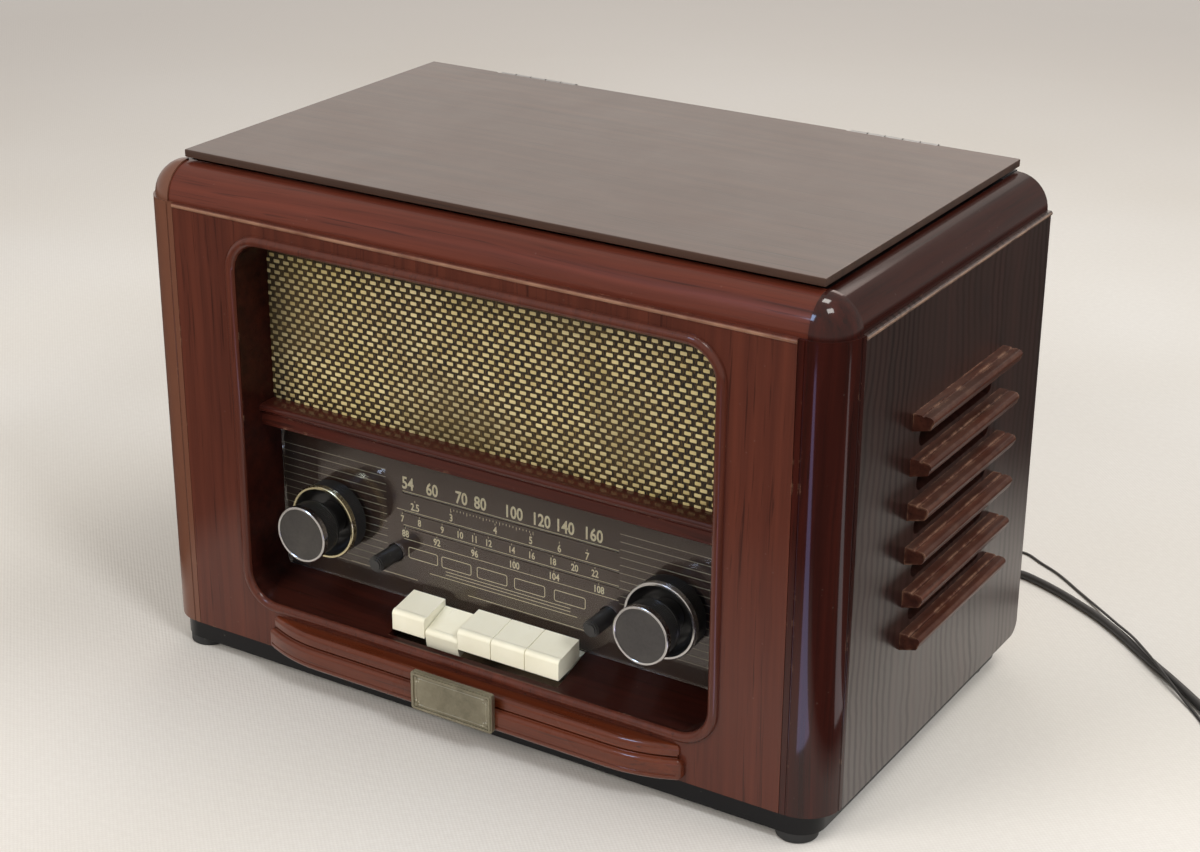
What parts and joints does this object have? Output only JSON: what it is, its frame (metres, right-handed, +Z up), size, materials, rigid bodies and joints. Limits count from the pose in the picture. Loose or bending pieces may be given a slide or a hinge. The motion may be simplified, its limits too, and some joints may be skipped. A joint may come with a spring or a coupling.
{
  "type": "radio with cd player",
  "caption": "Table radio in a gloss wooden cabinet with a lid over a disc deck, a dial window, knob pairs, piano keys, side louvres, and trailing mains and aerial leads",
  "frame": {"origin": "middle of the radio's footprint, on the surface that its feet stand on", "axes": "+X along the width, to the right seen from the front; +Y to the back; +Z up"},
  "size_m": [0.6088, 0.3659, 0.2763],
  "materials": {
    "front_wood": "high gloss lacquer",
    "side_wood": "gloss lacquer",
    "slat_wood": "satin lacquer",
    "lid_wood": "satin lacquer",
    "inner_wood": "raw board",
    "plinth_black": "gloss",
    "rubber": "matte",
    "plate_metal": "antique",
    "cloth": "woven",
    "glass": "clear",
    "dial_print": "printed, satin",
    "knob_black": "satin",
    "key_ivory": "gloss",
    "chrome": "polished",
    "steel": "brushed",
    "deck_plastic": "fine grain",
    "board_green": "satin",
    "pale_plastic": "satin",
    "cord_sleeve": "satin"
  },
  "bodies": {
    "cabinet": {"front_panel": "front_wood", "opening_bead": "front_wood", "left_side_panel": "side_wood", "right_side_panel": "side_wood", "corner_posts": "front_wood", "corner_blocks": "front_wood", "front_top_rail": "front_wood", "side_top_rails": "front_wood", "bottom_board": "inner_wood", "plinth": "plinth_black", "feet": "rubber", "louvre_slats": "slat_wood", "apron_moulding": "front_wood", "nameplate": "plate_metal", "middle_rail": "front_wood", "recess_liner": "front_wood", "speaker_baffle": "inner_wood", "grille_cloth": "cloth", "speakers": "steel", "dial_glass": "glass", "dial_plate": "dial_print", "dial_chassis": "steel", "panel_controls": "steel", "tuning_capacitor": "steel", "main_board": "board_green", "transformer": "steel", "key_frame": "steel", "key_rod": "chrome", "cd_deck": "deck_plastic", "deck_motors": "steel", "sled_rods": "chrome", "rear_cover": "inner_wood", "rear_cover_screws": "chrome", "strain_relief": "cord_sleeve", "aerial_gland": "cord_sleeve", "hinge_leaves": "chrome", "hinge_pins": "chrome", "mains_cord": "cord_sleeve", "mains_cord_coil": "cord_sleeve", "mains_plug": "cord_sleeve", "aerial_wire": "cord_sleeve", "aerial_wire_coil": "cord_sleeve"},
    "lid": {"lid": "lid_wood", "lid_leaves": "chrome"},
    "volume_knob": {"volume_knob": "knob_black"},
    "tone_ring": {"tone_ring": "knob_black"},
    "tuning_knob": {"tuning_knob": "knob_black"},
    "selector_ring": {"selector_ring": "knob_black"},
    "dial_pointer": {"dial_pointer": "pale_plastic"},
    "tuning_drum": {"tuning_drum": "pale_plastic"},
    "power_key": {"power_key": "key_ivory"},
    "fm_key": {"fm_key": "key_ivory"},
    "am_key": {"am_key": "key_ivory"},
    "cd_key": {"cd_key": "key_ivory"},
    "aux_key": {"aux_key": "key_ivory"},
    "left_plunger": {"left_plunger": "knob_black"},
    "right_plunger": {"right_plunger": "knob_black"},
    "spindle_hub": {"spindle_hub": "deck_plastic"},
    "laser_sled": {"laser_sled": "deck_plastic"},
    "sled_gear": {"sled_gear": "pale_plastic"}
  },
  "joints": [
    {"name": "lid_hinge", "type": "hinge", "parent": "cabinet", "child": "lid", "pos_m": [0, 0.11445, 0.2734], "axis": [-1, 0, 0], "range_deg": [0, 72]},
    {"name": "volume_turn", "type": "hinge", "parent": "cabinet", "child": "volume_knob", "pos_m": [-0.1016, -0.11925, 0.0885], "axis": [0, 1, 0], "range_deg": [-150, 150]},
    {"name": "tone_turn", "type": "hinge", "parent": "cabinet", "child": "tone_ring", "pos_m": [-0.1016, -0.11925, 0.0885], "axis": [0, 1, 0], "range_deg": [-150, 150]},
    {"name": "tuning_turn", "type": "hinge", "parent": "cabinet", "child": "tuning_knob", "pos_m": [0.1016, -0.11925, 0.0885], "axis": [0, 1, 0], "range_deg": [-1020, 420]},
    {"name": "selector_turn", "type": "hinge", "parent": "cabinet", "child": "selector_ring", "pos_m": [0.1016, -0.11925, 0.0885], "axis": [0, 1, 0], "range_deg": [-60, 60]},
    {"name": "pointer_slide", "type": "slide", "parent": "cabinet", "child": "dial_pointer", "axis": [1, 0, 0], "range_m": [-0.0852, 0.0352]},
    {"name": "drum_turn", "type": "hinge", "parent": "cabinet", "child": "tuning_drum", "pos_m": [0.062, -0.05925, 0.0585], "axis": [0, 1, 0], "range_deg": [-128, 53]},
    {"name": "power_key_press", "type": "hinge", "parent": "cabinet", "child": "power_key", "pos_m": [-0.04064, -0.07425, 0.0535], "axis": [1, 0, 0], "range_deg": [0, 9], "stiffness_Nm_per_rad": 0.05, "springref_deg": -5.16},
    {"name": "fm_key_press", "type": "hinge", "parent": "cabinet", "child": "fm_key", "pos_m": [-0.02032, -0.07425, 0.0535], "axis": [1, 0, 0], "range_deg": [-9, 0]},
    {"name": "am_key_press", "type": "hinge", "parent": "cabinet", "child": "am_key", "pos_m": [0, -0.07425, 0.0535], "axis": [1, 0, 0], "range_deg": [0, 9], "stiffness_Nm_per_rad": 0.05, "springref_deg": -5.16},
    {"name": "cd_key_press", "type": "hinge", "parent": "cabinet", "child": "cd_key", "pos_m": [0.02032, -0.07425, 0.0535], "axis": [1, 0, 0], "range_deg": [0, 9], "stiffness_Nm_per_rad": 0.05, "springref_deg": -5.16},
    {"name": "aux_key_press", "type": "hinge", "parent": "cabinet", "child": "aux_key", "pos_m": [0.04064, -0.07425, 0.0535], "axis": [1, 0, 0], "range_deg": [0, 9], "stiffness_Nm_per_rad": 0.05, "springref_deg": -5.16},
    {"name": "left_plunger_push", "type": "slide", "parent": "cabinet", "child": "left_plunger", "axis": [0, 1, 0], "range_m": [0, 0.003], "stiffness_N_per_m": 120, "springref_m": -0.002},
    {"name": "right_plunger_push", "type": "slide", "parent": "cabinet", "child": "right_plunger", "axis": [0, 1, 0], "range_m": [0, 0.003], "stiffness_N_per_m": 120, "springref_m": -0.002},
    {"name": "spindle_spin", "type": "hinge", "parent": "cabinet", "child": "spindle_hub", "pos_m": [0, 0.00275, 0.245], "axis": [0, 0, 1], "continuous": true},
    {"name": "sled_slide", "type": "slide", "parent": "cabinet", "child": "laser_sled", "axis": [1, 0, 0], "range_m": [0, 0.026]},
    {"name": "sled_gear_turn", "type": "hinge", "parent": "cabinet", "child": "sled_gear", "pos_m": [0.062, 0.03195, 0.235], "axis": [0, 0, 1], "range_deg": [-1, 250]}
  ],
  "couplings": [
    {"joint": "pointer_slide", "follows": "tuning_turn", "m_per_rad": 0.0047747},
    {"joint": "drum_turn", "follows": "tuning_turn", "ratio": 0.125},
    {"joint": "sled_gear_turn", "follows": "sled_slide", "rad_per_m": 166.67}
  ]
}
